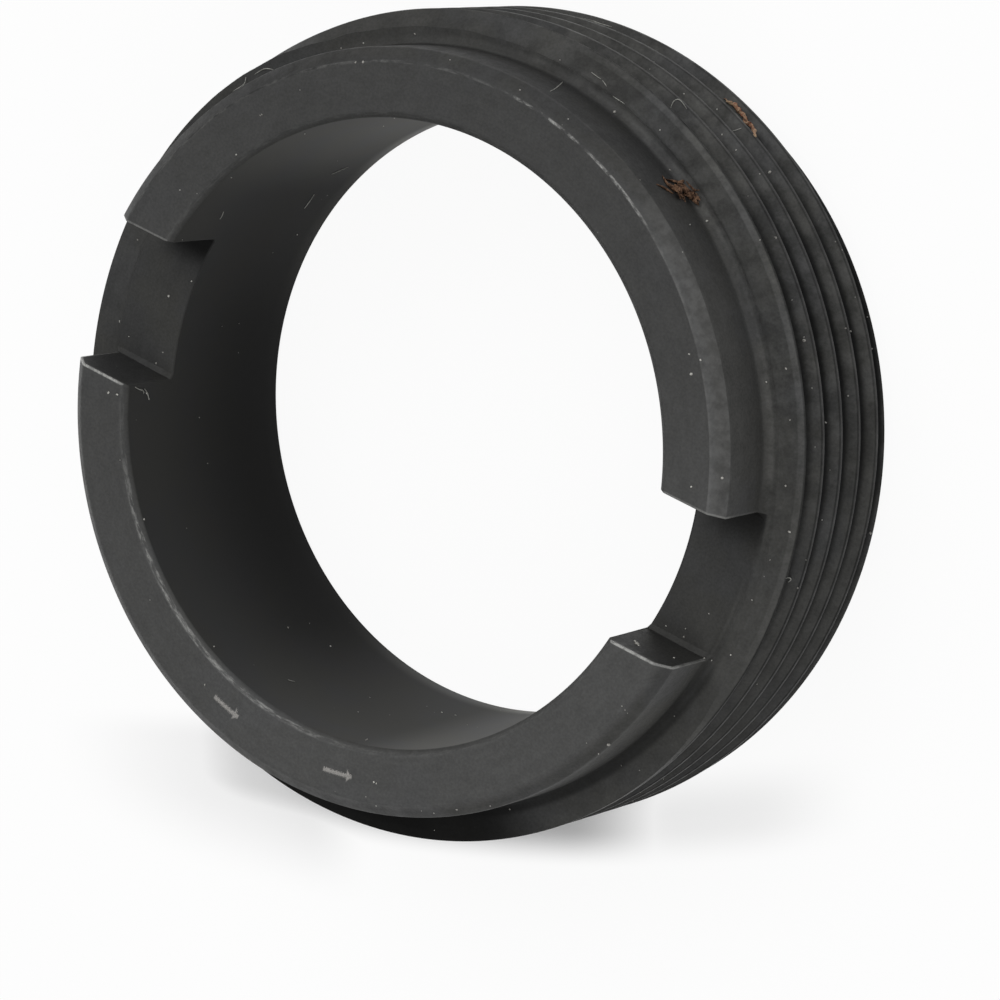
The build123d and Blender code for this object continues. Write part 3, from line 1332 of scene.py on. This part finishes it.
class RINGNUT_OT_flake(bpy.types.Operator):
    """Lay the brown flake: a heap of ragged chips and some strands"""

    bl_idname = "ring_nut.flake"
    bl_label = "Brown flake"

    def execute(self, context):
        dirt = context.scene.nut_dirt
        paints = context.scene.nut_paints
        skin = NutSkin(context)
        draw = random.Random(dirt.seed)
        start, end = (Vector(pixel) for pixel in FLAKE_ENDS)
        along = (skin.under(*end)[0] - skin.under(*start)[0]).normalized()
        across = Vector((end.y - start.y, start.x - end.x)).normalized()
        bm = bmesh.new()
        for _ in range(dirt.flake_chips):
            share = draw.uniform(0.0, 1.0)
            wide = FLAKE_HALF_WIDTH * (1 - abs(2 * share - 0.9) ** 3)
            pixel = start.lerp(end, share) + across * draw.uniform(-wide, wide)
            place, normal = skin.under(pixel.x, pixel.y)
            verts = bmesh.ops.create_icosphere(bm, subdivisions=3, radius=1.0)["verts"]
            length = draw.uniform(*CHIP_LENGTHS) * MM
            width = length * draw.uniform(*CHIP_WIDTHS)
            thickness = draw.uniform(*CHIP_THICKNESSES) * MM
            shape = Matrix.Diagonal((length, width, thickness, 1.0))
            sideways = normal.cross(along).normalized()
            forward = sideways.cross(normal)
            frame_turn = Matrix((forward, sideways, normal)).transposed().to_4x4()
            yaw, pitch, roll = (
                Matrix.Rotation(draw.gauss(0.0, spread), 4, axis) for spread, axis in zip(CHIP_TURNS, "ZYX")
            )
            lift = Matrix.Translation(place + normal * draw.uniform(*CHIP_LIFTS) * MM)
            bmesh.ops.transform(bm, matrix=lift @ frame_turn @ yaw @ pitch @ roll @ shape, verts=verts)
            crumple(verts, RAG_SIZE, CHIP_RAG_DEPTH, Vector((draw.uniform(0, 50), 0, 0)), dirt.seed)
        for pixels in FLAKE_STRANDS:
            bm.from_mesh(strand(skin, pixels, 2 * dirt.fibre_thickness, 0.3))
        finish_dirt(bm, "brown_flake", dry_scrap("brown_scrap", paints.flake_light, paints.flake_dark, 2.6))
        return {"FINISHED"}


class RINGNUT_OT_curl(bpy.types.Operator):
    """Lay the red-brown curl on the thread"""

    bl_idname = "ring_nut.curl"
    bl_label = "Curl"

    def execute(self, context):
        dirt = context.scene.nut_dirt
        paints = context.scene.nut_paints
        skin = NutSkin(context)
        bm = bmesh.new()
        bm.from_mesh(strand(skin, CURL, dirt.curl_thickness))
        bmesh.ops.subdivide_edges(bm, edges=bm.edges[:], cuts=1, use_grid_fill=True)
        crumple(bm.verts, RAG_SIZE, CURL_RAG_DEPTH, Vector((3, 0, 0)), dirt.seed)
        finish_dirt(bm, "red_curl", dry_scrap("dry_curl", paints.curl_light, paints.curl_red, 3.0))
        return {"FINISHED"}


def floor_white(stage):
    """White floor that reads as white in the picture, with a painted shadow beside the nut where its glow is
    left out
    """
    kit = NodeKit("floor_white")
    tree = kit.tree
    tree.nodes.remove(kit.shader)
    paint = tree.nodes.new("ShaderNodeBsdfDiffuse")
    paint.inputs["Color"].default_value = FLOOR_WHITE
    glow = tree.nodes.new("ShaderNodeEmission")
    glow.inputs["Strength"].default_value = 1.0
    path = tree.nodes.new("ShaderNodeLightPath")
    seen = kit.most(
        path.outputs["Is Camera Ray"], path.outputs["Is Glossy Ray"], path.outputs["Is Transmission Ray"]
    )
    x, y = kit.split(kit.place())[:2]
    down = kit.plus(kit.times(x, math.cos(SHADE_ANGLE)), kit.times(y, math.sin(SHADE_ANGLE)))
    along = kit.plus(kit.times(y, math.cos(SHADE_ANGLE)), kit.times(x, -math.sin(SHADE_ANGLE)))
    # The three parts of the painted shadow, in millimetres from the axis and along its width
    bent = kit.plus(down, kit.times(along, along, SHADE_BEND))
    core = kit.times(kit.fall(bent, 17.2, 18.9), kit.step(along, -19.5, -15.0), kit.fall(along, 0.5, 6.5))
    left = kit.times(
        kit.step(bent, 18.0, 21.8, 0.42, 0.0),
        kit.step(along, -26.0, -17.0),
        kit.fall(along, -12.5, -9.0),
    )
    right = kit.times(
        kit.step(bent, 17.2, 18.9, 0.26, 0.0),
        kit.step(bent, 14.5, 16.8),
        kit.step(along, 2.0, 6.0),
        kit.fall(along, 9.0, 15.0),
    )
    shade = kit.times(kit.most(core, left, right), kit.step(down, 12.5, 14.0))
    share = kit.minus(stage.floor_glow, kit.times(shade, stage.floor_shade))
    mix = tree.nodes.new("ShaderNodeMixShader")
    kit.feed(mix.inputs["Fac"], kit.times(seen, share))
    tree.links.new(paint.outputs[0], mix.inputs[1])
    tree.links.new(glow.outputs[0], mix.inputs[2])
    tree.links.new(mix.outputs[0], tree.nodes["Material Output"].inputs["Surface"])
    return kit.material


def add_lamp(name, offset, target, side, level):
    """A square soft lamp that faces a point; at level 1 it makes a white surface there white"""
    lamp = bpy.data.lights.new(name, "AREA")
    lamp.shape = "SQUARE"
    lamp.size = side
    lamp.energy = level * (math.pi * offset.length) ** 2
    holder = add_object(name, lamp)
    holder.location = target + offset
    holder.rotation_mode = "QUATERNION"
    holder.rotation_quaternion = (-offset).to_track_quat("-Z", "Y")


class RINGNUT_OT_stage(bpy.types.Operator):
    """Set the camera, the white floor, the even light and the soft lamps"""

    bl_idname = "ring_nut.stage"
    bl_label = "Stage"

    def execute(self, context):
        stage = context.scene.nut_stage
        scene = context.scene
        target = Vector(stage.camera_target)
        camera = bpy.data.cameras.new("camera")
        camera.lens = stage.camera_lens
        camera.sensor_width = SENSOR_WIDTH
        camera.clip_start, camera.clip_end = CLIP_RANGE
        turn = camera_turn(stage)
        holder = add_object("camera", camera)
        holder.location = stage.camera_location
        holder.rotation_mode = "QUATERNION"
        holder.rotation_quaternion = turn
        scene.camera = holder

        bm = bmesh.new()
        bmesh.ops.create_grid(bm, x_segments=1, y_segments=1, size=stage.floor_side / 2)
        bmesh.ops.translate(bm, verts=bm.verts[:], vec=(0.0, 0.0, -stage.floor_drop))
        floor = as_object(bm, "floor")
        floor.data.materials.append(floor_white(stage))

        world = bpy.data.worlds.new("even_light")
        scene.world = world
        world.use_nodes = True
        background = world.node_tree.nodes["Background"]
        background.inputs["Color"].default_value = (1, 1, 1, 1)
        background.inputs["Strength"].default_value = stage.world_strength

        add_lamp("key_lamp", turn @ KEY_OFFSET, target, KEY_SIDE, stage.key_level)
        add_lamp("top_lamp", turn @ TOP_OFFSET, target, TOP_SIDE, stage.top_level)
        add_lamp("low_lamp", turn @ LOW_OFFSET, target, LOW_SIDE, stage.low_level)
        add_lamp("front_lamp", FRONT_OFFSET, target, FRONT_SIDE, stage.front_level)
        scene.view_settings.view_transform = "Standard"
        return {"FINISHED"}


class RINGNUT_PT_panel(bpy.types.Panel):
    """Buttons that make each piece of the ring nut"""

    bl_idname = "RINGNUT_PT_panel"
    bl_label = "Ring nut"
    bl_space_type = "VIEW_3D"
    bl_region_type = "UI"
    bl_category = "Ring nut"

    def draw(self, context):
        for operator in OPERATORS:
            self.layout.operator(operator.bl_idname)


OPERATORS = (
    RINGNUT_OT_stage,
    RINGNUT_OT_body,
    RINGNUT_OT_dust,
    RINGNUT_OT_fibres,
    RINGNUT_OT_flake,
    RINGNUT_OT_curl,
)
CLASSES = (NutSizes, NutPaints, NutStage, NutDirt, *OPERATORS, RINGNUT_PT_panel)


def register():
    for made in CLASSES:
        bpy.utils.register_class(made)
    bpy.types.Scene.nut_sizes = PointerProperty(type=NutSizes)
    bpy.types.Scene.nut_paints = PointerProperty(type=NutPaints)
    bpy.types.Scene.nut_stage = PointerProperty(type=NutStage)
    bpy.types.Scene.nut_dirt = PointerProperty(type=NutDirt)


def unregister():
    del bpy.types.Scene.nut_dirt
    del bpy.types.Scene.nut_stage
    del bpy.types.Scene.nut_paints
    del bpy.types.Scene.nut_sizes
    for made in reversed(CLASSES):
        bpy.utils.unregister_class(made)


def main():
    register()
    bpy.ops.ring_nut.stage()
    bpy.ops.ring_nut.body()
    bpy.ops.ring_nut.dust()
    bpy.ops.ring_nut.fibres()
    bpy.ops.ring_nut.flake()
    bpy.ops.ring_nut.curl()


if __name__ == "__main__":
    main()
